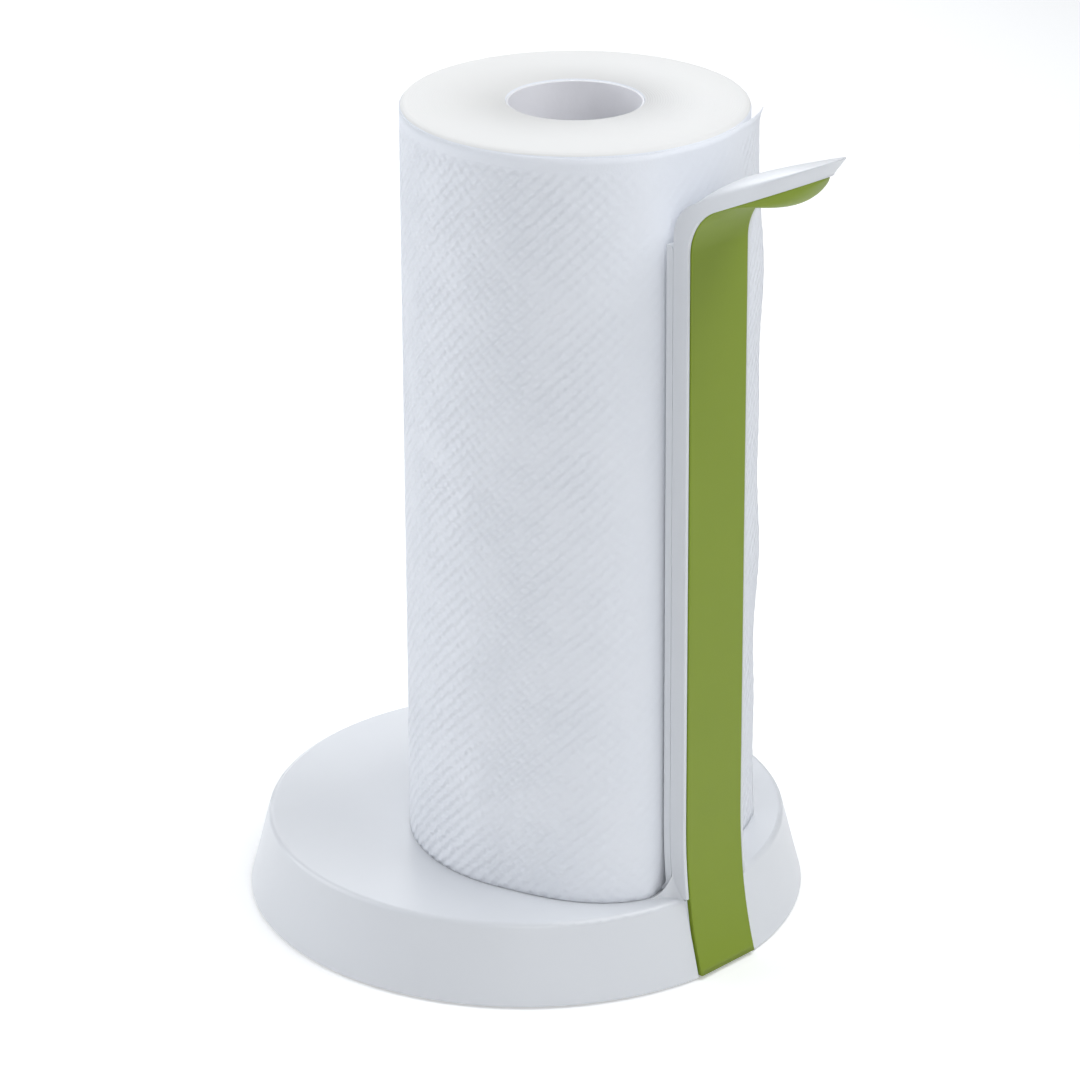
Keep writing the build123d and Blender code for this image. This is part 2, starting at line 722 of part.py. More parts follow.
# Cover that closes the shell and rubs on the roll. Its foot spreads over the slot in the base.
ski_back = foot_x(shoulder, arm_depth)
ski_top = foot_x(shoulder + ski_height, arm_depth)
ski_edge = strip_depth / 2
with BuildPart() as arm_cover:
    extrude(cover_side, amount=arm_width / 2, both=True)
    top_edges = arm_cover.edges().filter_by(Axis.Y).group_by(Axis.Z)[-1]
    fillet(top_edges.sort_by(Axis.X)[0], radius=cover_top_round)
    add(below(shoulder, arm_width), mode=Mode.SUBTRACT)
    with BuildSketch(Plane.XZ):
        with BuildLine():
            Polyline((ski_top, shoulder + ski_height), (ski_top + ski_edge, shoulder + ski_height),
                     (ski_back + ski_edge, shoulder), (ski_back - ski_length, shoulder),
                     (ski_back - ski_length, shoulder + ski_edge))
            ThreePointArc((ski_back - ski_length, shoulder + ski_edge),
                          (ski_back - ski_length / 3, shoulder + ski_height / 2.5),
                          (ski_top, shoulder + ski_height))
        make_face()
    extrude(amount=arm_width / 2, both=True)
    add(cover_screws.part, mode=Mode.SUBTRACT)
    with BuildSketch(arm_plane(arm_depth)):
        with Locations(*cover_screw_spots):
            Circle(cover_screw_radius * head_ratio)
    extrude(amount=-cover_screw_sink, mode=Mode.SUBTRACT)

# Flat steel spine that stiffens the arm.
with BuildPart() as arm_spine:
    extrude(spine_side, amount=spine_width / 2, both=True)
    add(below(arm_hollow_start + spine_end_gap, arm_width), mode=Mode.SUBTRACT)
    with BuildSketch(arm_plane(hollow_front)):
        with Locations(*cover_screw_spots):
            Circle(cover_boss_radius + spine_gap)
    extrude(amount=arm_shell_depth, mode=Mode.SUBTRACT)

# Soft strip from the foot to the lever's nose, swelling to a finger rest under the lever.
with BuildPart() as grip_strip:
    extrude(strip_side, amount=strip_width / 2, both=True)
    add(belly)
    extrude(strip_plan, amount=arm_top, mode=Mode.INTERSECT)

# --- Hinge of the arm -------------------------------------------------------------------

with BuildPart() as hinge_pin:
    with BuildSketch(Plane.XZ.offset(-pocket_half - hinge_boss_length)):
        with Locations((hinge_x, hinge_z)):
            Circle(hinge_pin_radius)
    extrude(amount=2 * (pocket_half + hinge_boss_length))

with BuildPart() as hinge_bushes:
    for side in (-tongue_half, spring_room):
        with BuildSketch(Plane.XZ.offset(side)):
            with Locations((hinge_x, hinge_z)):
                Circle(hinge_bush_radius)
                Circle(hinge_pin_radius + hinge_clearance, mode=Mode.SUBTRACT)
        extrude(amount=tongue_half - spring_room)

# Torsion spring coiled round the pin, with one leg on the bottom plate and one in the fork.
spring_length = 2 * spring_room - 3 * spring_wire
spring_pitch = spring_length / (spring_turns + 0.5)
spring_plane = Plane(origin=(hinge_x, -spring_length / 2, hinge_z), x_dir=(0, 0, -1), z_dir=(0, 1, 0))
spring_helix = Helix(pitch=spring_pitch, height=spring_length, radius=spring_radius, lefthand=True)
spring_coil = spring_plane * spring_helix
plate_leg = Line(spring_coil @ 0 - spring_leg * (spring_coil % 0), spring_coil @ 0)
fork_leg = Line(spring_coil @ 1, spring_coil @ 1 + spring_leg * (spring_coil % 1))
spring_path = Wire([plate_leg.edge(), spring_coil.edge(), fork_leg.edge()])
with BuildPart() as return_spring:
    with BuildSketch(Plane(origin=spring_path @ 0, z_dir=spring_path % 0)):
        Circle(spring_wire / 2)
    sweep(path=spring_path)

# Rubber stop for the arm when no roll is loaded.
with BuildPart() as stop_pad:
    with BuildSketch(Plane.YZ.offset(pocket_depth)):
        with Locations((0, ceiling - base_top_wall)):
            Rectangle(stop_width, stop_height, align=(Align.CENTER, Align.MAX))
    extrude(amount=stop_thickness)

# --- Files ------------------------------------------------------------------------------

pieces = {
    "base_shell": base_shell,
    "base_ballast": base_ballast,
    "ballast_screws": ballast_screws,
    "bottom_plate": bottom_plate,
    "plate_screws": plate_screws,
    "nonslip_pad": nonslip_pad,
    "post_rod": post_rod,
    "post_washer": post_washer,
    "post_nut": post_nut,
    "post_top_washer": post_top_washer,
    "post_top_screw": post_top_screw,
    "thrust_washer": thrust_washer,
    "hinge_pin": hinge_pin,
    "stop_pad": stop_pad,
    "hub_sleeve": hub_sleeve,
    "core_grips": core_grips,
    "lower_bush": lower_bush,
    "upper_bush": upper_bush,
    "hub_cap": hub_cap,
    "roll_core": roll_core,
    "paper_roll": paper_roll,
    "loose_sheet": loose_sheet,
    "arm_shell": arm_shell,
    "arm_cover": arm_cover,
    "arm_spine": arm_spine,
    "cover_screws": cover_screws,
    "grip_strip": grip_strip,
    "hinge_bushes": hinge_bushes,
    "return_spring": return_spring,
}
for name, piece in pieces.items():
    piece.part.label = name
    export_step(piece.part, f"parts/{name}.step")
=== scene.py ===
import bmesh
import bpy
import functools
import math
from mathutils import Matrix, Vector


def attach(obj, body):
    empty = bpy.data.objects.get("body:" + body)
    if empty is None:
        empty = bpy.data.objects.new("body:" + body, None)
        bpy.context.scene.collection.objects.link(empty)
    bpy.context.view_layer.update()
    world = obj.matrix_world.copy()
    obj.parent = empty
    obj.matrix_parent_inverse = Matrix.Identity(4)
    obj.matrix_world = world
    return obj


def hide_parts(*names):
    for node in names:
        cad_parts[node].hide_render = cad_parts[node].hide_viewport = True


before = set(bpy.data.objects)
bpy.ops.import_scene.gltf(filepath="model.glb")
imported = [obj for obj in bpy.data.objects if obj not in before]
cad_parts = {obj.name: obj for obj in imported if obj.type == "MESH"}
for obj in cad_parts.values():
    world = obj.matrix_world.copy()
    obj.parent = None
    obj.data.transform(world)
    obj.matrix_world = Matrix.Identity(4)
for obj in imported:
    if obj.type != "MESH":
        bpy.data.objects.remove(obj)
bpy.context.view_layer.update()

# --- View ---------------------------------------------------------------------------------
# A long lens, 1.5 m from the holder and 0.6 m above its middle, looks down on the side with
# the arm. The Standard transform shows each colour about as it is written.
camera_data = bpy.data.cameras.new("view")
camera_data.sensor_width = 36
camera_data.lens = 138.86
camera_data.shift_x = -0.0204
camera = bpy.data.objects.new("view", camera_data)
camera.location = (0.9998, -0.9945, 0.7444)
camera.rotation_euler = (math.radians(66.738), 0, math.radians(44.6))
scene = bpy.context.scene
scene.collection.objects.link(camera)
scene.camera = camera
scene.view_settings.view_transform = "Standard"

# --- Studio -------------------------------------------------------------------------------
# White paper sweep under the holder, lit by four large soft boxes: one overhead to the right,
# one on the left, a weaker one behind and one beside the camera. The surround only fills.
BACKDROP_SIZE = 8.0
BACKDROP_WHITE = "f4f4f4"
# What the camera and reflections see added to the light on the backdrop, where 1 is white
BACKDROP_LIFT = 0.3
SURROUND = "eef3fb"
SURROUND_STRENGTH = 0.15
SOFT_BOXES = [
    # angle round the holder, distance, height, width, length, watts, colour
    ("box_top", 40, 0.70, 1.40, 1.0, 1.0, 15.9, "fbfdff"),
    ("box_left", -150, 1.25, 0.55, 0.9, 1.3, 10.6, "f8fbff"),
    ("box_back", 150, 1.40, 0.50, 0.9, 1.3, 6.8, "fbfdff"),
    ("box_front", -40, 1.60, 0.60, 0.9, 1.0, 8.9, "fbfdff"),
]
AIM = Vector((0.02, 0, 0.16))


def linear(written):
    """A colour written as sRGB hex, as the linear red, green, blue and alpha of a shader."""
    shares = [int(written[n:n + 2], 16) / 255 for n in (0, 2, 4)]
    return [s / 12.92 if s < 0.04045 else ((s + 0.055) / 1.055) ** 2.4 for s in shares] + [1]


def add_node(material, kind, inputs=None, **settings):
    """Adds a node. An input is given by name or number, as a value or as another's output."""
    tree = material.node_tree
    made = tree.nodes.new("ShaderNode" + kind)
    for name, value in settings.items():
        setattr(made, name, value)
    for key, value in (inputs or {}).items():
        if isinstance(value, bpy.types.NodeSocket):
            tree.links.new(value, made.inputs[key])
        else:
            made.inputs[key].default_value = value
    return made


def new_material(name):
    """An empty material and its output."""
    material = bpy.data.materials.new(name)
    material.use_nodes = True
    material.node_tree.nodes.clear()
    return material


def new_piece(name, shape, *materials):
    """Links a finished bmesh to the scene as a smooth-shaded object."""
    mesh = bpy.data.meshes.new(name)
    shape.to_mesh(mesh)
    shape.free()
    mesh.polygons.foreach_set("use_smooth", [True] * len(mesh.polygons))
    for material in materials:
        mesh.materials.append(material)
    piece = bpy.data.objects.new(name, mesh)
    scene.collection.objects.link(piece)
    return piece


# Matt white background paper. What the camera sees of it is lifted to plain white, and it
# keeps the holder's soft shadow.
backdrop_paper = new_material("backdrop_paper")
paper = add_node(backdrop_paper, "BsdfDiffuse", {"Color": linear(BACKDROP_WHITE)})
seen = add_node(backdrop_paper, "LightPath")
direct = add_node(backdrop_paper, "Math", {0: seen.outputs["Is Camera Ray"],
                  1: seen.outputs["Is Glossy Ray"]}, operation="MAXIMUM")
lift = add_node(backdrop_paper, "Math", {0: direct.outputs[0], 1: BACKDROP_LIFT},
                operation="MULTIPLY")
glow = add_node(backdrop_paper, "Emission", {"Strength": lift.outputs[0]})
both = add_node(backdrop_paper, "AddShader", {0: paper.outputs[0], 1: glow.outputs[0]})
add_node(backdrop_paper, "OutputMaterial", {"Surface": both.outputs[0]})

sweep_shape = bmesh.new()
bmesh.ops.create_grid(sweep_shape, x_segments=2, y_segments=2, size=BACKDROP_SIZE / 2)
new_piece("backdrop", sweep_shape, backdrop_paper)

world = bpy.data.worlds.new("surround")
scene.world = world
world.use_nodes = True
surround = world.node_tree.nodes["Background"]
surround.inputs["Color"].default_value = linear(SURROUND)
surround.inputs["Strength"].default_value = SURROUND_STRENGTH

for name, angle, distance, height, width, length, watts, colour in SOFT_BOXES:
    lamp = bpy.data.lights.new(name, "AREA")
    lamp.shape = "RECTANGLE"
    lamp.size = width
    lamp.size_y = length
    lamp.energy = watts
    lamp.color = linear(colour)[:3]
    box = bpy.data.objects.new(name, lamp)
    turn = math.radians(angle)
    box.location = AIM + Vector((distance * math.cos(turn), distance * math.sin(turn), height))
    box.rotation_euler = (AIM - box.location).to_track_quat("-Z", "Y").to_euler()
    scene.collection.objects.link(box)

# --- White mouldings ----------------------------------------------------------------------
# The base, arm shell, arm cover and hub are injection-moulded ABS in one cool white. The
# mould's fine spark texture softens the gloss, and handling has dulled it a little in places.
WHITE = "e6e8eb"
WHITE_DULLED = "e3e5e9"
SPARK_GRAIN = 0.00045
DULLED_PATCH = 0.035

# ABS, IOR 1.54, satin: broad soft highlights. The mould's grain is finer than a tenth of a
# millimetre, so it is drawn 0.45 mm across to show close up.
white_abs = new_material("white_satin_abs")
place = add_node(white_abs, "TexCoord").outputs["Object"]
grain = add_node(white_abs, "TexNoise", {"Vector": place, "Scale": 1 / SPARK_GRAIN, "Detail": 2.0})
patches = add_node(white_abs, "TexNoise", {"Vector": place, "Scale": 1 / DULLED_PATCH, "Detail": 3.0})
tone = add_node(white_abs, "Mix", {"Factor": patches.outputs["Fac"], 6: linear(WHITE),
                7: linear(WHITE_DULLED)}, data_type="RGBA")
dull = add_node(white_abs, "MapRange", {"Value": patches.outputs["Fac"], "From Min": 0.2,
                "From Max": 0.8, "To Min": 0.3, "To Max": 0.34})
bump = add_node(white_abs, "Bump", {"Height": grain.outputs["Fac"], "Strength": 0.05,
                "Distance": 0.0002})
abs_shader = add_node(white_abs, "BsdfPrincipled", {"Base Color": tone.outputs[2],
                      "Roughness": dull.outputs[0], "IOR": 1.54, "Normal": bump.outputs[0]})
add_node(white_abs, "OutputMaterial", {"Surface": abs_shader.outputs[0]})


def dress(node_name, material):
    """Gives a solid from the frame its one material."""
    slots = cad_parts[node_name].data.materials
    slots.clear()
    slots.append(material)


for name in ("base_shell", "arm_cover", "hub_sleeve", "hub_cap"):
    dress(name, white_abs)

# --- Arm shell ----------------------------------------------------------------------------
# One ABS moulding: a flat upright that flares at its foot, bends outwards at the top and
# ends in a finger lever with a crowned back and a round nose. A channel for the soft strip
# runs down its outer face inside a narrow rim. Sizes are in millimetres.
MM = 0.001
FACE_X = 96.0
FOOT_TOP = 60.0
LEAN = math.radians(0.4)
SLOPE = math.radians(25.3)
FOOT_RADIUS = 240.0
BEND_TOP = 228.7
SHELL_DEPTH = 6.9
ARM_DEPTH = 9.8
ARM_HALF = 15.9
TONGUE_HALF = 14.5
SHOULDER = 31.0
LEVER_THICKNESS = 4.7
# Where the round nose starts along the lever and how far it reaches from there
TOP_NOSE = (33.7, 25.8)
UNDER_NOSE = (26.5, 25.8)
CHANNEL_NOSE = (20.0, 31.2)
CROWN_FROM, CROWN_TO = 6.0, 57.5
CROWN_HEIGHT = 3.4
CHANNEL_DEPTH = 1.6
RIM_WIDTH = 1.4
EDGE_ROUND = 0.5
OUTER_BEND = 20.0
BACK_BEND = 15.0
SHELL_HEIGHTS = (14.2, 18, 22, 26, SHOULDER - 0.02, SHOULDER, 36, 42, 48, 54, FOOT_TOP)
UPRIGHT_STEPS = 8
BEND_STEPS = 16
LEVER_STEPS = 12
NOSE_STEPS = 28
FLOOR_STEPS = 8
ROWS = len(SHELL_HEIGHTS) + UPRIGHT_STEPS + BEND_STEPS + LEVER_STEPS + NOSE_STEPS
foot_centre = (FACE_X + FOOT_RADIUS * math.cos(LEAN), FOOT_TOP + FOOT_RADIUS * math.sin(LEAN))


def upright_point(height, depth):
    """Point on the straight upright, at a depth behind its outer face."""
    return (FACE_X - height * math.sin(LEAN) - depth * math.cos(LEAN),
            FOOT_TOP + height * math.cos(LEAN) - depth * math.sin(LEAN))


lever_corner = Vector(upright_point(BEND_TOP, 0))
lever_way = Vector((math.cos(SLOPE), math.sin(SLOPE)))
lever_up = Vector((-math.sin(SLOPE), math.cos(SLOPE)))


def along_lever(point):
    """How far along the lever a point of a side line is from the bend's corner."""
    return (Vector(point) - lever_corner).dot(lever_way)


@functools.cache
def arm_line(heights, depth, lift, bend, nose):
    """Side line of one layer, from the foot round the bend to the end of the nose."""
    line = []
    for height in heights:
        out = math.sqrt((FOOT_RADIUS + depth) ** 2 - (foot_centre[1] - height) ** 2)
        line.append((foot_centre[0] - out, height))
    sweep = math.pi / 2 - SLOPE + LEAN
    rise = (lift - depth * math.cos(sweep)) / math.sin(sweep)
    start = BEND_TOP + rise - bend * math.tan(sweep / 2)
    for step in range(1, UPRIGHT_STEPS + 1):
        line.append(upright_point(start * step / UPRIGHT_STEPS, depth))
    centre = upright_point(start, depth - bend)
    for step in range(1, BEND_STEPS + 1):
        angle = math.pi + LEAN - sweep * step / BEND_STEPS
        line.append((centre[0] + bend * math.cos(angle), centre[1] + bend * math.sin(angle)))
    first = along_lever(line[-1])
    stops = [first + (nose[0] - first) * step / LEVER_STEPS for step in range(1, LEVER_STEPS + 1)]
    stops += [nose[0] + nose[1] * math.sin(math.pi / 2 * step / NOSE_STEPS)
              for step in range(1, NOSE_STEPS + 1)]
    return line + [tuple(lever_corner + lever_way * along + lever_up * lift) for along in stops]


def nose_share(row):
    """Share of the full width that is left at a row: 1 up to the nose and 0 at its end."""
    step = max(0, row - (ROWS - 1 - NOSE_STEPS))
    return math.cos(math.pi / 2 * step / NOSE_STEPS)


def shorter(nose, distance):
    """A nose that starts at the same place and ends a distance sooner."""
    return (nose[0], nose[1] - distance)


def normal_at(line, row):
    """Direction out of the outer face, square to a side line at a row."""
    before, after = line[max(row - 1, 0)], line[min(row + 1, len(line) - 1)]
    along = Vector((after[0] - before[0], after[1] - before[1])).normalized()
    return Vector((along.y, -along.x))


def swell(point, across, start, end, height, power):
    """Height of a leaf-shaped swelling along the lever, rounded across it."""
    share = min(max((along_lever(point) - start) / (end - start), 0), 1)
    return height * math.sin(math.pi * share ** power) * math.sqrt(max(0, 1 - across ** 2))


def layered_solid(rows, columns, front, back):
    """A closed solid from a grid: one face placed by front(row, column), the other by back."""
    made = bmesh.new()
    bmesh.ops.create_grid(made, x_segments=len(columns) - 1, y_segments=rows - 1, size=1)
    row_of = made.verts.layers.int.new("row")
    column_of = made.verts.layers.int.new("column")
    for vert in made.verts:
        vert[row_of] = round((vert.co.y + 1) / 2 * (rows - 1))
        vert[column_of] = round((vert.co.x + 1) / 2 * (len(columns) - 1))
        vert.co = Vector(front(vert[row_of], columns[vert[column_of]])) * MM
    extruded = bmesh.ops.extrude_face_region(made, geom=made.faces[:])
    for vert in extruded["geom"]:
        if isinstance(vert, bmesh.types.BMVert):
            vert.co = Vector(back(vert[row_of], columns[vert[column_of]])) * MM
    bmesh.ops.remove_doubles(made, verts=made.verts, dist=0.01 * MM)
    # The halves of the nose meet on the centre line: the faces left there are inside it.
    inside = [face for face in made.faces
              if all(abs(vert.co.y) < 0.001 * MM for vert in face.verts)]
    bmesh.ops.delete(made, geom=inside, context="FACES")
    bmesh.ops.recalc_face_normals(made, faces=made.faces)
    return made


def both_sides(side, steps):
    """Columns across the arm: one side's own, those between the sides, and the other side's."""
    shares = [math.sin(math.pi / 2 * n / steps) for n in range(1 - steps, steps)]
    return ([(-1, *column) for column in side] + [(share, *side[-1]) for share in shares]
            + [(1, *column) for column in reversed(side)])


# Each column is its share of the width, how far in from the side it is, its nose below and on
# top, and how far it is sunk: the rounded edge, the rim, its lip and the channel's floor.
edge = [(n, shorter(UNDER_NOSE, n), shorter(TOP_NOSE, n), sink)
        for n, sink in ((0, 0.5), (0.05, 0.25), (0.15, 0.12), (0.3, 0.04), (EDGE_ROUND, 0))]
lip = [(n, shorter(CHANNEL_NOSE, n - RIM_WIDTH), shorter(TOP_NOSE, n), sink)
       for n, sink in ((RIM_WIDTH - 0.15, 0), (RIM_WIDTH, 0.15), (RIM_WIDTH + 0.05, CHANNEL_DEPTH))]
shell_columns = both_sides(edge + lip, FLOOR_STEPS)
SHOULDER_ROW = SHELL_HEIGHTS.index(SHOULDER)


def shell_front(row, column):
    """Point of the outer face, which is sunk in the channel and below the shoulder."""
    share, side_in, under_nose, _, sink = column
    line = arm_line(SHELL_HEIGHTS, 0, 0, OUTER_BEND, under_nose)
    half = ARM_HALF
    if row < SHOULDER_ROW:
        half, sink = TONGUE_HALF, CHANNEL_DEPTH
    at = Vector(line[row]) - normal_at(line, row) * sink
    return (at.x, share * (half - side_in) * nose_share(row), at.y)


def shell_back(row, column):
    """Point of the face towards the roll, which is deeper below and crowned on the lever."""
    share, side_in, _, top_nose, sink = column
    line = arm_line(SHELL_HEIGHTS, SHELL_DEPTH, LEVER_THICKNESS, BACK_BEND, top_nose)
    half, rise = ARM_HALF, -sink if side_in <= EDGE_ROUND else 0
    if row < SHOULDER_ROW:
        half, rise = TONGUE_HALF, ARM_DEPTH - SHELL_DEPTH
    across = share * (half - side_in) / half
    crown = swell(line[row], across, CROWN_FROM, CROWN_TO, CROWN_HEIGHT, power=0.5)
    at = Vector(line[row]) - normal_at(line, row) * (rise + crown)
    return (at.x, across * half * nose_share(row), at.y)


def spin_ring(shape, corners, centre, axis, sides):
    """Adds a closed ring to a bmesh: the outline of its wall, turned all the way round."""
    ring = [shape.verts.new(Vector(corner) * MM) for corner in corners]
    outline = [shape.edges.new((ring[n - 1], ring[n])) for n in range(len(ring))]
    bmesh.ops.spin(shape, geom=ring + outline, cent=Vector(centre) * MM, axis=axis,
                   angle=2 * math.pi, steps=sides, use_merge=True)


arm_shape = layered_solid(ROWS, shell_columns, shell_front, shell_back)

# Two knuckles under the tongue hold the bushes of the hinge, with the spring between them.
HINGE_X, HINGE_Z = 95.4, 9.2
KNUCKLE_IN, KNUCKLE_OUT = 3.0, 4.9
SPRING_ROOM = 5.0
KNUCKLE_SIDES = 32
for side in (-1, 1):
    near, far = side * SPRING_ROOM, side * TONGUE_HALF
    wall = ((near, KNUCKLE_IN), (near, KNUCKLE_OUT), (far, KNUCKLE_OUT), (far, KNUCKLE_IN))
    spin_ring(arm_shape, [(HINGE_X, y, HINGE_Z + radius) for y, radius in wall],
              (HINGE_X, 0, HINGE_Z), (0, 1, 0), KNUCKLE_SIDES)
bmesh.ops.remove_doubles(arm_shape, verts=arm_shape.verts, dist=0.005 * MM)
bmesh.ops.recalc_face_normals(arm_shape, faces=arm_shape.faces)
arm = new_piece("arm_shell_moulding", arm_shape, white_abs)
arm.modifiers.new("even_shading", "WEIGHTED_NORMAL").keep_sharp = True
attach(arm, "arm")
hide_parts("arm_shell")

# --- Rim fairings -------------------------------------------------------------------------
# Beside the arm's foot the base's rim sweeps up and out in a low concave web, one on each
# side, so that the arm seems to grow out of the base. Both are part of the base's moulding.
BASE_RADIUS, BASE_DRAFT, BASE_TOP = 104.6, 14.5, 30.5
FAIRING_WIDTH, FAIRING_HEIGHT = 10.0, 12.0
FAIRING_FOOT = 2.0
FAIRING_START = BASE_TOP - 0.3
FAIRING_FLARE = 2.4
# Share of its width that a fairing has at its foot, and how far out its hollow is drawn
FOOT_SHARE = 0.15
HOLLOW = 0.38
SLOT_SIDE = 14.9
ARM_SIDE = ARM_HALF + 0.05
FACE_INSET = 0.8
LOW_ROWS, HIGH_ROWS = 9, 12
FAIRING_COLUMNS = 14
# The upper rows start a hair above the lower ones and are closest where the sweep begins.
ROW_GAP = 0.01
SHARP_CORNER = math.radians(35)
fairing_heights = [FAIRING_FOOT + (FAIRING_START - FAIRING_FOOT) * n / LOW_ROWS
                   for n in range(LOW_ROWS + 1)]
fairing_heights += [FAIRING_START + ROW_GAP + (FAIRING_HEIGHT - ROW_GAP) * (n / HIGH_ROWS) ** 1.3
                    for n in range(HIGH_ROWS + 1)]


def cone_radius(height):
    """Radius of the base's sloping side at a height."""
    return BASE_RADIUS - BASE_DRAFT * height / BASE_TOP


def roll_side(off):
    """How far out the side of a fairing that faces the roll is, at a distance off the middle."""
    flare = max(0, 1 - (off - ARM_SIDE) / FAIRING_WIDTH)
    return math.sqrt(cone_radius(BASE_TOP) ** 2 - off ** 2) + FAIRING_FLARE * flare ** 1.5


def fairing_front(row, share):
    """Point of the concave face, from the arm's side at a share of 0 to the rim at 1."""
    z = fairing_heights[row]
    face = foot_centre[0] - math.sqrt(FOOT_RADIUS ** 2 - (foot_centre[1] - z) ** 2) - FACE_INSET
    if z <= FAIRING_START:
        cone = cone_radius(z)
        start = (face, SLOT_SIDE)
        grown = FOOT_SHARE + (1 - FOOT_SHARE) * (z / FAIRING_START) ** 1.5
        off = ARM_SIDE + FAIRING_WIDTH * grown
        end = (math.sqrt(cone ** 2 - off ** 2), off)
        corner = ((cone ** 2 - start[1] * off) / end[0], start[1])
    else:
        left = 1 - (z - FAIRING_START) / FAIRING_HEIGHT
        off = ARM_SIDE + FAIRING_WIDTH * (1 - math.sqrt(max(0, 1 - left ** 2)))
        end = (roll_side(off), off)
        start = (roll_side(ARM_SIDE) + (face - roll_side(ARM_SIDE)) * left ** 2, ARM_SIDE)
        corner = (end[0] + HOLLOW * (start[0] - end[0]), ARM_SIDE)
    weights = ((1 - share) ** 2, 2 * share * (1 - share), share ** 2)
    x, off = (sum(w * p[n] for w, p in zip(weights, (start, corner, end))) for n in (0, 1))
    return (x, -off, z)


def fairing_back(row, share):
    """Point of the side towards the roll, behind the same point of the concave face."""
    x, y, z = fairing_front(row, share)
    return (min(x, roll_side(-y)), y, z)


fairing_columns = [n / FAIRING_COLUMNS for n in range(FAIRING_COLUMNS + 1)]
web_shape = layered_solid(len(fairing_heights), fairing_columns, fairing_front, fairing_back)
whole = web_shape.verts[:] + web_shape.edges[:] + web_shape.faces[:]
mirrored = bmesh.ops.duplicate(web_shape, geom=whole)["geom"]
bmesh.ops.scale(web_shape, vec=(1, -1, 1),
                verts=[part for part in mirrored if isinstance(part, bmesh.types.BMVert)])
bmesh.ops.recalc_face_normals(web_shape, faces=web_shape.faces)
for crease in web_shape.edges:
    crease.smooth = crease.calc_face_angle(0) < SHARP_CORNER
fairings = new_piece("base_rim_fairings", web_shape, white_abs)
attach(fairings, "base")

# --- Soft strip ---------------------------------------------------------------------------
# Moss-green thermoplastic elastomer, moulded to fill the arm's channel from the base's lower
# edge to the nose. It stands a hair proud of the rim and swells under the lever into a rest
# for the finger. Its foot is plain.
STRIP_HALF = 14.15
STRIP_PROUD = 0.4
STRIP_BACK = 1.55
STRIP_HEIGHTS = (1.6, 4, 7, 11, 16, 21, 27, 34, 42, 51, FOOT_TOP)
STRIP_NOSE = (20.0, 31.1)
STRIP_STEPS = 12
BELLY_START = 18.0
BELLY_DEPTH = 5.2
# How much prouder the foot is than the rest, and the height where that has faded out
FOOT_PROUD = 0.7
FOOT_HEIGHT = 30.0
GREEN = "879b25"
GREEN_DEEP = "829724"
GREEN_GRAIN = 0.0006

strip_edge = [(n, shorter(STRIP_NOSE, n), sink)
              for n, sink in ((0, 0.45), (0.05, 0.22), (0.15, 0.1), (0.45, 0))]
strip_columns = both_sides(strip_edge, STRIP_STEPS)


def strip_front(row, column):
    """Point of the outer face, with the proud foot and the swelling under the lever."""
    share, side_in, nose, sink = column
    line = arm_line(STRIP_HEIGHTS, -STRIP_PROUD, -STRIP_PROUD, OUTER_BEND - STRIP_PROUD, nose)
    across = share * (STRIP_HALF - side_in) / STRIP_HALF
    at = Vector(line[row])
    proud = FOOT_PROUD * max(0, 1 - at.y / FOOT_HEIGHT) ** 2 - sink
    proud += swell(at, across, BELLY_START, sum(STRIP_NOSE), BELLY_DEPTH, power=1.2)
    at += normal_at(line, row) * proud
    return (at.x, across * STRIP_HALF * nose_share(row), at.y)


def strip_back(row, column):
    """Point of the flat face that lies on the channel's floor."""
    share, side_in, nose, _ = column
    x, z = arm_line(STRIP_HEIGHTS, STRIP_BACK, STRIP_BACK, OUTER_BEND + STRIP_BACK, nose)[row]
    return (x, share * (STRIP_HALF - side_in) * nose_share(row), z)


strip_shape = layered_solid(ROWS, strip_columns, strip_front, strip_back)

# Elastomer, IOR 1.5, matt: broad dim highlights with no sharp edge, and a slight change of
# tone from wear. Its moulded grain is drawn 0.6 mm across, coarser than it is, to show.
green_elastomer = new_material("green_soft_elastomer")
place = add_node(green_elastomer, "TexCoord").outputs["Object"]
grain = add_node(green_elastomer, "TexNoise", {"Vector": place, "Scale": 1 / GREEN_GRAIN,
                 "Detail": 2.0})
clouds = add_node(green_elastomer, "TexNoise", {"Vector": place, "Scale": 1 / DULLED_PATCH,
                  "Detail": 2.0})
tone = add_node(green_elastomer, "Mix", {"Factor": clouds.outputs["Fac"], 6: linear(GREEN),
                7: linear(GREEN_DEEP)}, data_type="RGBA")
bump = add_node(green_elastomer, "Bump", {"Height": grain.outputs["Fac"], "Strength": 0.12,
                "Distance": 0.0002})
shader = add_node(green_elastomer, "BsdfPrincipled", {"Base Color": tone.outputs[2],
                  "Roughness": 0.5, "IOR": 1.5, "Normal": bump.outputs[0]})
add_node(green_elastomer, "OutputMaterial", {"Surface": shader.outputs[0]})
strip = new_piece("grip_strip_moulding", strip_shape, green_elastomer)
strip.modifiers.new("even_shading", "WEIGHTED_NORMAL").keep_sharp = True
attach(strip, "arm")
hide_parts("grip_strip")

# --- Paper roll ---------------------------------------------------------------------------
# Two-ply kitchen paper wound tight on its core. Its side carries a quilted emboss of dots in
# slanting rows, and its ends show the cut edges of the plies, wound round and round. The
# roll's own sizes are in millimetres, and those of its patterns in metres.
ROLL_X, ROLL_Y = 22.6, 3.0
ROLL_RADIUS = 61.55
CORE_OUTER = 24.5
ROLL_BOTTOM, ROLL_TOP = 31.25, 311.6
ROLL_AXIS = (ROLL_X * MM, ROLL_Y * MM, 0)
ROLL_SIDES = 180
# A face whose normal stands up more than this belongs to an end and not to the side.
END_SLOPE = 0.6
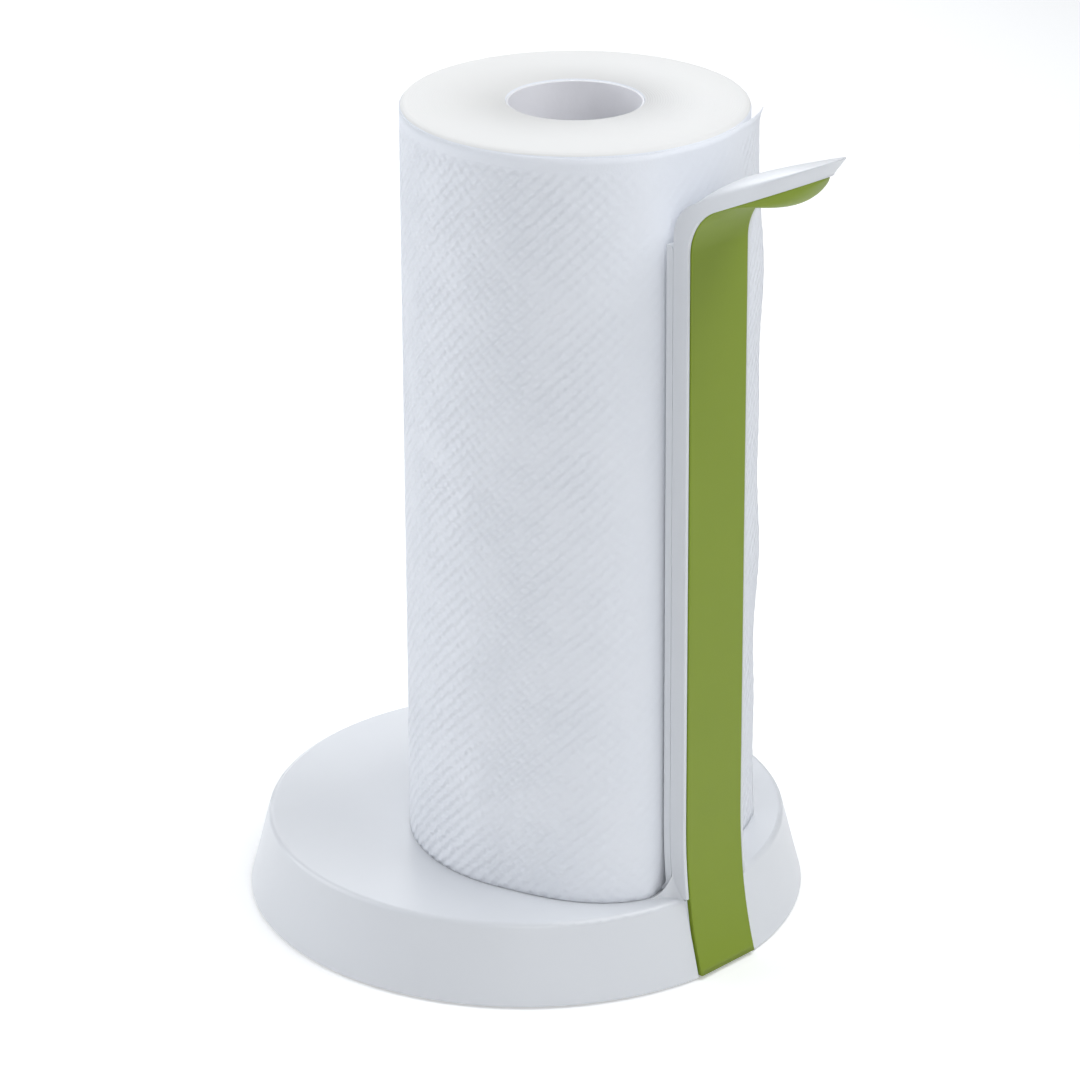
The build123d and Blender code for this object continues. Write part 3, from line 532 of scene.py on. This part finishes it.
# A wave texture repeats once in this length at a scale of 1.
WAVE_REPEAT = 0.314
EMBOSS_ROWS = 0.00354
EMBOSS_DOTS = 0.0034
EMBOSS_SLANT = math.radians(45)
RIDGE_DEPTH = 1.45
FIBRE_FUZZ = 0.0007
FUZZ_DEPTH = 0.22
PRESSED_PATCH = 0.018
# The emboss comes up from flat between these angles from the arm, in radians, and fades out
# between these heights.
IRONED_TO, FULL_FROM = 0.35, 1.1
FADE_FROM, FADE_TO = ROLL_TOP - 9, ROLL_TOP - 6
WOUND_PITCH = 0.0009
WOUND_WANDER, WANDER_PATCH = 0.0012, 0.03
PLY_CLUMPS = 0.006
# The side and the ends are one paper. The side's bluer white is a painted tint of the cool fill light
# on it, and the ends' warmer, slightly darker white is painted for the top light on them.
PAPER = "f3f5fa"
PAPER_SHADE = "eff2f8"
PAPER_END_PAINTED_LIGHT = "f0efed"

# From the core out along the bottom, up the side and in along the top, with both edges eased
roll_wall = [
    (CORE_OUTER, ROLL_BOTTOM), (ROLL_RADIUS - 0.8, ROLL_BOTTOM),
    (ROLL_RADIUS - 0.2, ROLL_BOTTOM + 0.3), (ROLL_RADIUS, ROLL_BOTTOM + 1.0),
    (ROLL_RADIUS, ROLL_TOP - 2.4), (ROLL_RADIUS - 0.3, ROLL_TOP - 1.2),
    (ROLL_RADIUS - 1.0, ROLL_TOP - 0.4), (ROLL_RADIUS - 2.4, ROLL_TOP), (CORE_OUTER, ROLL_TOP),
]
roll_shape = bmesh.new()
spin_ring(roll_shape, [(ROLL_X + radius, ROLL_Y, z) for radius, z in roll_wall],
          (ROLL_X, ROLL_Y, 0), (0, 0, 1), ROLL_SIDES)
bmesh.ops.recalc_face_normals(roll_shape, faces=roll_shape.faces)
for face in roll_shape.faces:
    face.material_index = 1 if abs(face.normal.z) > END_SLOPE else 0


def round_the_roll(material, place):
    """Angle round the roll's axis from the arm, in radians, and height above the counter."""
    axis = add_node(material, "VectorMath", {0: place, 1: ROLL_AXIS}, operation="SUBTRACT")
    parts = add_node(material, "SeparateXYZ", {"Vector": axis.outputs[0]})
    turn = add_node(material, "Math", {0: parts.outputs["Y"], 1: parts.outputs["X"]},
                    operation="ARCTAN2")
    return turn.outputs[0], parts.outputs["Z"]


# Tissue: very matt, and its fibres scatter light so that it never goes dark. They are much
# finer than a millimetre, so their fuzz is drawn 0.7 mm across to show.
tissue = new_material("embossed_tissue")
place = add_node(tissue, "TexCoord").outputs["Object"]
turn, height_up = round_the_roll(tissue, place)
fuzz = add_node(tissue, "TexNoise", {"Vector": place, "Scale": 1 / FIBRE_FUZZ, "Detail": 3.0})
waves = add_node(tissue, "TexNoise", {"Vector": place, "Scale": 1 / PRESSED_PATCH, "Detail": 2.0})

# The emboss is laid out flat, turned to its slant and measured in rows and dots: broken ridges
# along the rows, 3.5 mm apart, and a dimple at each dot.
unrolled = add_node(tissue, "Math", {0: turn, 1: ROLL_RADIUS * MM}, operation="MULTIPLY")
flat = add_node(tissue, "CombineXYZ", {"X": unrolled.outputs[0], "Y": height_up})
slant = add_node(tissue, "Mapping", {"Vector": flat.outputs[0], "Rotation": (0, 0, EMBOSS_SLANT),
                 "Scale": (EMBOSS_DOTS, EMBOSS_ROWS, 1)}, vector_type="TEXTURE")
dots = add_node(tissue, "TexVoronoi", {"Vector": slant.outputs[0], "Scale": 1.0,
                "Randomness": 0.35}, voronoi_dimensions="2D")
waver = {"Vector": slant.outputs[0], "Scale": WAVE_REPEAT, "Distortion": 2.2, "Detail": 2.0,
         "Detail Scale": 2.0}
rows = add_node(tissue, "TexWave", waver, wave_type="BANDS", bands_direction="Y")
gaps = add_node(tissue, "TexWave", waver, wave_type="BANDS", bands_direction="X")
dimple = add_node(tissue, "MapRange", {"Value": dots.outputs["Distance"], "From Min": 0.0,
                  "From Max": 0.62, "To Max": 0.65}, interpolation_type="SMOOTHSTEP")
broken = add_node(tissue, "MapRange", {"Value": gaps.outputs["Fac"], "To Min": 0.62})
ridge = add_node(tissue, "Math", {0: rows.outputs["Fac"], 1: broken.outputs[0]},
                 operation="MULTIPLY")
quilted = add_node(tissue, "Math", {0: ridge.outputs[0], 1: RIDGE_DEPTH, 2: dimple.outputs[0]},
                   operation="MULTIPLY_ADD")

# It is pressed unevenly, is pulled flat near the arm, where the sheets are torn off, and stops
# short of the roll's top edge.
uneven = add_node(tissue, "MapRange", {"Value": waves.outputs["Fac"], "From Min": 0.35,
                  "From Max": 0.6, "To Min": 0.6})
off_arm = add_node(tissue, "Math", {0: turn}, operation="ABSOLUTE")
ironed = add_node(tissue, "MapRange", {"Value": off_arm.outputs[0], "From Min": IRONED_TO,
                  "From Max": FULL_FROM, "To Min": 0.1})
worn = add_node(tissue, "Math", {0: uneven.outputs[0], 1: ironed.outputs[0]},
                operation="MULTIPLY")
plain_band = add_node(tissue, "MapRange", {"Value": height_up, "From Min": FADE_FROM * MM,
                      "From Max": FADE_TO * MM, "To Min": 1.0, "To Max": 0.0})
kept = add_node(tissue, "Math", {0: worn.outputs[0], 1: plain_band.outputs[0]},
                operation="MULTIPLY")
pressed = add_node(tissue, "Math", {0: quilted.outputs[0], 1: kept.outputs[0]},
                   operation="MULTIPLY")
height = add_node(tissue, "Math", {0: fuzz.outputs["Fac"], 1: FUZZ_DEPTH,
                  2: pressed.outputs[0]}, operation="MULTIPLY_ADD")
bump = add_node(tissue, "Bump", {"Height": height.outputs[0], "Strength": 0.46,
                "Distance": 0.0012})
tone = add_node(tissue, "Mix", {"Factor": waves.outputs["Fac"], 6: linear(PAPER),
                7: linear(PAPER_SHADE)}, data_type="RGBA")
shader = add_node(tissue, "BsdfPrincipled", {"Base Color": tone.outputs[2], "Roughness": 0.95,
                  "IOR": 1.3, "Sheen Weight": 0.2, "Sheen Roughness": 0.7, "Normal": bump.outputs[0]})
add_node(tissue, "OutputMaterial", {"Surface": shader.outputs[0]})

# The cut ends: matt, and painted warmer and slightly darker than the side to stand in for the
# top light that falls on them, though they are the same paper. The plies are too close to show,
# so they are drawn 0.9 mm apart, and their rings wander where the winding was slack.
cut_plies = new_material("cut_tissue_plies")
place = add_node(cut_plies, "TexCoord").outputs["Object"]
axis = add_node(cut_plies, "VectorMath", {0: place, 1: ROLL_AXIS}, operation="SUBTRACT")
wander = add_node(cut_plies, "TexNoise", {"Vector": place, "Scale": 1 / WANDER_PATCH,
                  "Detail": 3.0})
shift = add_node(cut_plies, "VectorMath", {0: wander.outputs["Color"],
                 1: (WOUND_WANDER, WOUND_WANDER, 0)}, operation="MULTIPLY")
wound = add_node(cut_plies, "VectorMath", {0: axis.outputs[0], 1: shift.outputs[0]},
                 operation="ADD")
rings = add_node(cut_plies, "TexWave", {"Vector": wound.outputs[0], "Distortion": 1.2,
                 "Scale": WAVE_REPEAT / WOUND_PITCH, "Detail": 2.0, "Detail Scale": 3.0},
                 wave_type="RINGS", rings_direction="Z")
clumps = add_node(cut_plies, "TexNoise", {"Vector": place, "Scale": 1 / PLY_CLUMPS,
                  "Detail": 4.0})
height = add_node(cut_plies, "Math", {0: rings.outputs["Fac"], 1: 0.5,
                  2: clumps.outputs["Fac"]}, operation="MULTIPLY_ADD")
bump = add_node(cut_plies, "Bump", {"Height": height.outputs[0], "Strength": 0.16,
                "Distance": 0.0005})
shader = add_node(cut_plies, "BsdfPrincipled", {"Base Color": linear(PAPER_END_PAINTED_LIGHT), "Roughness": 0.95,
                  "IOR": 1.3, "Normal": bump.outputs[0]})
add_node(cut_plies, "OutputMaterial", {"Surface": shader.outputs[0]})
roll = new_piece("wound_paper", roll_shape, tissue, cut_plies)
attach(roll, "roll")
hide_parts("paper_roll")

# --- Outermost sheet ----------------------------------------------------------------------
# The last turn of paper has sprung loose: it bellies out before the arm, most at its foot,
# dives under the arm and stands off beyond it, where it ends in torn perforations. Angles are
# in degrees round the roll from the arm, and the other sizes in millimetres.
SHEET_IN = ROLL_RADIUS + 0.1
SHEET_PLY = 0.35
SHEET_LOW, SHEET_HIGH = ROLL_BOTTOM - 0.45, ROLL_TOP - 1.6
SHEET_END = 47.0
SHEET_TURN = 352.0
SHEET_COLUMNS = 300
SHEET_ROWS = 120
# How far the turn stands off the roll on average, which sets the sheet's length when flat
FREE_START, FREE_LIFT = 20.0, 5.0
FREE_DROP = 2.2
# Share of the free end's lift that is held back at its top, where only the corner flicks out
HELD_TOP = 0.45
CORNER_START, CORNER_FLICK = 0.975, 1.6
# Depth of each ripple of the free end, radians of it from bottom to top, and where it starts
FLUTTER = ((0.5, 17, 1.0), (0.35, 31, 2.2))
LAP_FROM, LAP_TOP, LAP_TO = -74.0, -25.0, -8.5
LAP_LIFT = 8.0
# Share of the lap's lift that is left at the top of the sheet
LAP_TOP_SHARE = 0.16
# The torn edge's teeth and how it wanders: how deep, and the step from one row to the next
TOOTH, TOOTH_STEP = 0.9, 0.37
WANDER, WANDER_STEP = 0.35, 1.9


def lap_lift(angle, share):
    """How far the loose turn stands off the roll, by angle and by height from 0 to 1."""
    lift = 0.0
    if LAP_FROM < angle < LAP_TO:
        if angle < LAP_TOP:
            rise = (angle - LAP_FROM) / (LAP_TOP - LAP_FROM)
        else:
            rise = (LAP_TO - angle) / (LAP_TO - LAP_TOP)
        swelling = 0.5 - 0.5 * math.cos(math.pi * rise)
        lift = LAP_LIFT * swelling * (LAP_TOP_SHARE + (1 - LAP_TOP_SHARE) * (1 - share) ** 1.2)
    if angle > FREE_START:
        free = (angle - FREE_START) / (SHEET_END - FREE_START)
        flutter = sum(depth * math.sin(share * span + start) for depth, span, start in FLUTTER)
        flick = CORNER_FLICK * (max(0, share - CORNER_START) / (1 - CORNER_START)) ** 2
        lift = FREE_LIFT * (1 - HELD_TOP * share ** 8) * free ** 1.6 + (flutter + flick) * free
    return lift


def torn_reach(row):
    """How much further round the roll the torn edge reaches at a row, in degrees."""
    return TOOTH * abs((row * TOOTH_STEP) % 1 - 0.5) + WANDER * math.sin(row * WANDER_STEP)


sheet_shape = bmesh.new()
bmesh.ops.create_grid(sheet_shape, x_segments=SHEET_COLUMNS, y_segments=SHEET_ROWS, size=1)
for vert in sheet_shape.verts:
    across, up = (vert.co.x + 1) / 2, (vert.co.y + 1) / 2
    angle = SHEET_END - SHEET_TURN * (1 - across)
    if across > 0.999:
        angle += torn_reach(round(up * SHEET_ROWS))
    way = math.radians(angle)
    reach = SHEET_IN + lap_lift(angle, up)
    drop = FREE_DROP * max(0, (angle - FREE_START) / (SHEET_END - FREE_START))
    vert.co = Vector((ROLL_X + reach * math.cos(way), ROLL_Y + reach * math.sin(way),
                      SHEET_LOW + (SHEET_HIGH - drop - SHEET_LOW) * up)) * MM
bmesh.ops.recalc_face_normals(sheet_shape, faces=sheet_shape.faces)
bmesh.ops.solidify(sheet_shape, geom=sheet_shape.faces[:], thickness=SHEET_PLY * MM)
bmesh.ops.recalc_face_normals(sheet_shape, faces=sheet_shape.faces)
sheet = new_piece("outer_sheet", sheet_shape, tissue)
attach(sheet, "roll")
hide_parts("loose_sheet")

# --- Cardboard core -----------------------------------------------------------------------
# A tube of pale grey board wound from a long strip on a slant, which the paper is glued to.
# The seam of the last strip shows inside. Its top stands a little below the paper's.
CORE_INNER = 23.3
CORE_SIDE = CORE_OUTER - 0.05
CORE_TOP = ROLL_TOP - 0.8
CORE_SIDES = 96
SEAM_RISE, SEAM_WIDTH = 0.075, 0.0009
BOARD_FLECKS = 0.0012
BOARD = "efeef1"
BOARD_SEAM = "dddbdf"

# From inside out along the bottom, up the side and over the eased top edge
core_wall = [
    (CORE_INNER, ROLL_BOTTOM), (CORE_SIDE, ROLL_BOTTOM), (CORE_SIDE, CORE_TOP),
    (CORE_SIDE - 0.35, CORE_TOP + 0.3), (CORE_INNER + 0.3, CORE_TOP + 0.3),
    (CORE_INNER, CORE_TOP),
]
core_shape = bmesh.new()
spin_ring(core_shape, [(ROLL_X + radius, ROLL_Y, z) for radius, z in core_wall],
          (ROLL_X, ROLL_Y, 0), (0, 0, 1), CORE_SIDES)
bmesh.ops.recalc_face_normals(core_shape, faces=core_shape.faces)

# Grey board: matt recycled fibre with flecks, and a fine dark seam that climbs 75 mm a turn.
board = new_material("spiral_wound_board")
place = add_node(board, "TexCoord").outputs["Object"]
turn, height_up = round_the_roll(board, place)
turns = add_node(board, "Math", {0: turn, 1: 1 / (2 * math.pi)}, operation="MULTIPLY")
climb = add_node(board, "Math", {0: height_up, 1: 1 / SEAM_RISE, 2: turns.outputs[0]},
                 operation="MULTIPLY_ADD")
wrap = add_node(board, "Math", {0: climb.outputs[0], 1: 1.0}, operation="FLOORED_MODULO")
seam = add_node(board, "MapRange", {"Value": wrap.outputs[0], "From Min": 0.0,
                "From Max": SEAM_WIDTH / SEAM_RISE, "To Min": 1.0, "To Max": 0.0})
flecks = add_node(board, "TexNoise", {"Vector": place, "Scale": 1 / BOARD_FLECKS, "Detail": 4.0})
tone = add_node(board, "Mix", {"Factor": seam.outputs[0], 6: linear(BOARD),
                7: linear(BOARD_SEAM)}, data_type="RGBA")
bump = add_node(board, "Bump", {"Height": flecks.outputs["Fac"], "Strength": 0.2,
                "Distance": 0.0003})
shader = add_node(board, "BsdfPrincipled", {"Base Color": tone.outputs[2], "Roughness": 0.9,
                  "Normal": bump.outputs[0]})
add_node(board, "OutputMaterial", {"Surface": shader.outputs[0]})
core = new_piece("core_tube", core_shape, board)
core.modifiers.new("even_shading", "WEIGHTED_NORMAL").keep_sharp = True
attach(core, "roll")
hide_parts("roll_core")

# --- Steel pieces -------------------------------------------------------------------------
# The post, its nut, washers and screw, the hinge pin, the arm's spine and the spring are
# drawn or turned steel, and the small screws are zinc plated.
STEEL = "b9bcbf"
ZINC = "a9adb0"
SPRING_STEEL = "6c7075"
TURNED_LINES = 0.0004
ZINC_BLOOM = 0.0008
# A line's width as a share of its length, and how far the roughness varies either way
LINE_SHARE = 0.15
UNEVEN = 0.07


def metal(name, colour, roughness, lines):
    """Bare or plated metal with level lines, drawn coarser than they are so that they show."""
    made = new_material(name)
    place = add_node(made, "TexCoord").outputs["Object"]
    stretched = add_node(made, "Mapping", {"Vector": place, "Scale": (LINE_SHARE, LINE_SHARE, 1.0)})
    fine = add_node(made, "TexNoise", {"Vector": stretched.outputs[0], "Scale": 1 / lines,
                    "Detail": 3.0})
    rough = add_node(made, "MapRange", {"Value": fine.outputs["Fac"],
                     "To Min": roughness - UNEVEN, "To Max": roughness + UNEVEN})
    bump = add_node(made, "Bump", {"Height": fine.outputs["Fac"], "Strength": 0.12,
                    "Distance": 0.0001})
    shader = add_node(made, "BsdfPrincipled", {"Base Color": linear(colour), "Metallic": 1.0,
                      "Roughness": rough.outputs[0], "Normal": bump.outputs[0]})
    add_node(made, "OutputMaterial", {"Surface": shader.outputs[0]})
    return made


# Drawn steel: bright, with lines that soften its reflections.
drawn_steel = metal("drawn_steel", STEEL, roughness=0.3, lines=TURNED_LINES)
for name in ("post_rod", "post_washer", "post_nut", "post_top_washer", "post_top_screw",
             "hinge_pin", "arm_spine"):
    dress(name, drawn_steel)
# Zinc plate: greyer and duller than bare steel, with a coarser bloom.
zinc_plate = metal("zinc_plated_steel", ZINC, roughness=0.4, lines=ZINC_BLOOM)
for name in ("ballast_screws", "plate_screws", "cover_screws"):
    dress(name, zinc_plate)
# Oil-tempered spring wire: dark and smooth.
spring_wire = metal("tempered_spring_wire", SPRING_STEEL, roughness=0.35, lines=TURNED_LINES)
dress("return_spring", spring_wire)

# --- Ballast, plate, pad and bearings -----------------------------------------------------
# A rough cast-iron disc screwed up inside the base, a textured polypropylene plate that
# closes it, and a foam rubber pad glued to the plate. The bearings are natural acetal and
# the fins and stop are moulded rubber.
TONE_PATCH = 0.02


def dull_finish(name, colour, shade, roughness, grain, strength):
    """A dull finish with a moulded, cast or foamed grain and a slight change of tone."""
    made = new_material(name)
    place = add_node(made, "TexCoord").outputs["Object"]
    fine = add_node(made, "TexNoise", {"Vector": place, "Scale": 1 / grain, "Detail": 4.0})
    broad = add_node(made, "TexNoise", {"Vector": place, "Scale": 1 / TONE_PATCH, "Detail": 2.0})
    tone = add_node(made, "Mix", {"Factor": broad.outputs["Fac"], 6: linear(colour),
                    7: linear(shade)}, data_type="RGBA")
    bump = add_node(made, "Bump", {"Height": fine.outputs["Fac"], "Strength": strength,
                    "Distance": grain / 2})
    shader = add_node(made, "BsdfPrincipled", {"Base Color": tone.outputs[2], "Roughness": roughness,
                      "Normal": bump.outputs[0]})
    add_node(made, "OutputMaterial", {"Surface": shader.outputs[0]})
    return made


# Cast iron: dark, rough as sand casting leaves it, with grain about 1 mm across.
dress("base_ballast", dull_finish("sand_cast_iron", "3a3b3d", "2f2f31", roughness=0.7,
                                  grain=0.001, strength=0.6))
# Polypropylene: mid grey, waxy and matt, with a leather-fine texture.
dress("bottom_plate", dull_finish("textured_polypropylene", "55575a", "4e5053", roughness=0.55,
                                  grain=0.0008, strength=0.3))
# Closed-cell foam rubber: near black, dry, with pores half a millimetre across.
dress("nonslip_pad", dull_finish("foam_rubber", "2b2c2e", "242526", roughness=0.9,
                                 grain=0.0006, strength=0.7))
# Acetal: milky and slippery, almost without grain.
acetal = dull_finish("natural_acetal", "e6e3da", "dedbd1", roughness=0.35, grain=0.0005,
                     strength=0.05)
for name in ("thrust_washer", "lower_bush", "upper_bush", "hinge_bushes"):
    dress(name, acetal)
# Moulded rubber: green to match the strip on the fins, black on the stop.
dress("core_grips", dull_finish("green_moulded_rubber", GREEN, GREEN_DEEP, roughness=0.6,
                                grain=0.0006, strength=0.15))
dress("stop_pad", dull_finish("black_moulded_rubber", "1e1e1f", "191919", roughness=0.75,
                              grain=0.0006, strength=0.2))
